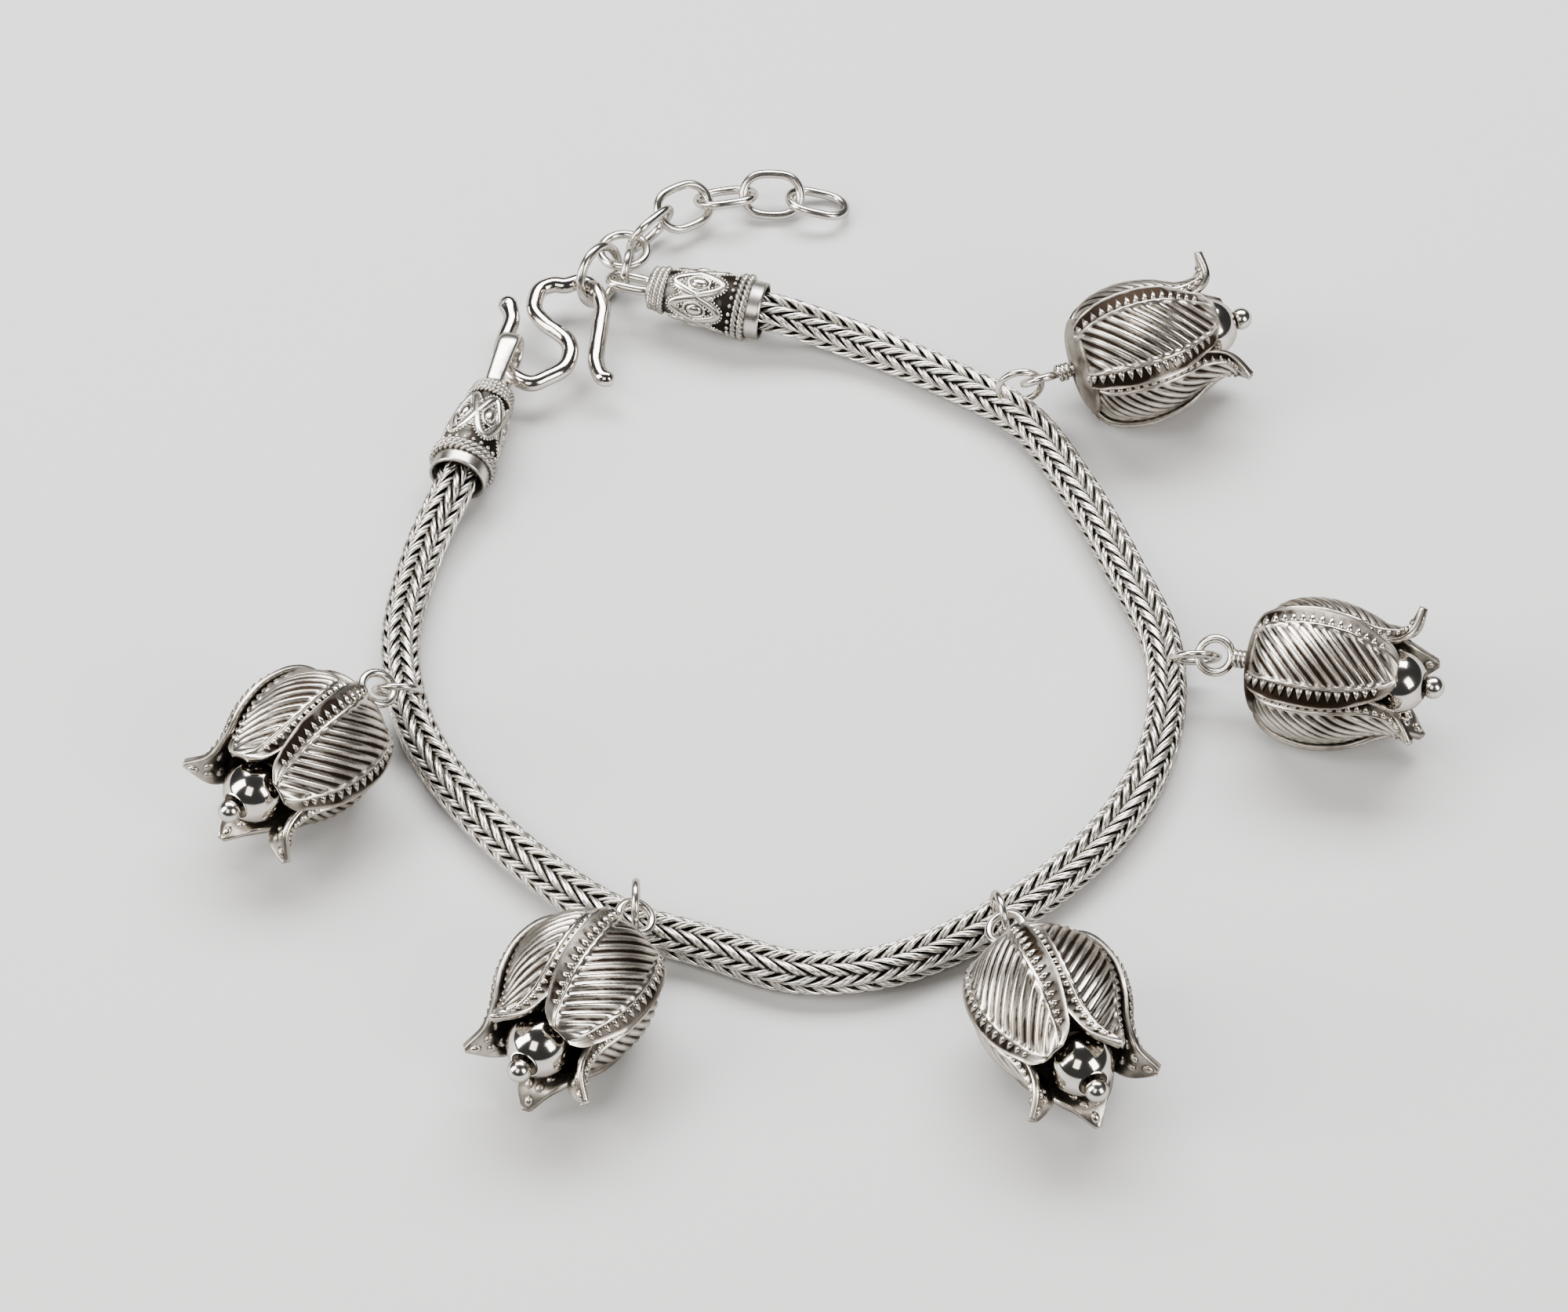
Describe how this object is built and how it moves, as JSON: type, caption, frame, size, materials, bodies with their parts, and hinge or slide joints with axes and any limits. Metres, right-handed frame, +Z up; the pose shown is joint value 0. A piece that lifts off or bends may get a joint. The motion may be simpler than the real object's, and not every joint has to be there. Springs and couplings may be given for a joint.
{
  "type": "chain bracelet",
  "caption": "Woven silver chain bracelet laid in a loop, with tapered end caps, an S hook, a short extension chain and hanging flower-bud charms.",
  "frame": {"origin": "middle of the laid bracelet's box, on the surface it rests on", "axes": "+Z up from the surface, +X to the right and +Y away from the viewer, with the extension chain at the far side"},
  "size_m": [0.0838, 0.084, 0.0104],
  "materials": {
    "woven_silver": "woven silver wire, darkened between the wires",
    "cast_silver": "silver with wire ornament, darkened in the recesses",
    "polished_silver": "polished silver",
    "ring_silver": "worn polished silver wire",
    "petal_silver": "stamped silver sheet, darkened in the veins"
  },
  "bodies": {
    "root": {"end_cap_hook_side": "cast_silver", "end_cap_ring_side": "cast_silver", "s_hook": "polished_silver", "ring_hook": "ring_silver", "ring_joint": "ring_silver", "ring_cap": "ring_silver", "link_1": "ring_silver", "link_2": "ring_silver", "link_3": "ring_silver", "link_4": "ring_silver", "link_5": "ring_silver", "bud_1": "petal_silver", "bead_1": "polished_silver", "headpin_1": "ring_silver", "jump_ring_1": "ring_silver", "bud_2": "petal_silver", "bead_2": "polished_silver", "headpin_2": "ring_silver", "jump_ring_2": "ring_silver", "bud_3": "petal_silver", "bead_3": "polished_silver", "headpin_3": "ring_silver", "jump_ring_3": "ring_silver", "bud_4": "petal_silver", "bead_4": "polished_silver", "headpin_4": "ring_silver", "jump_ring_4": "ring_silver", "bud_5": "petal_silver", "bead_5": "polished_silver", "headpin_5": "ring_silver", "jump_ring_5": "ring_silver", "chain": "woven_silver"}
  },
  "joints": []
}
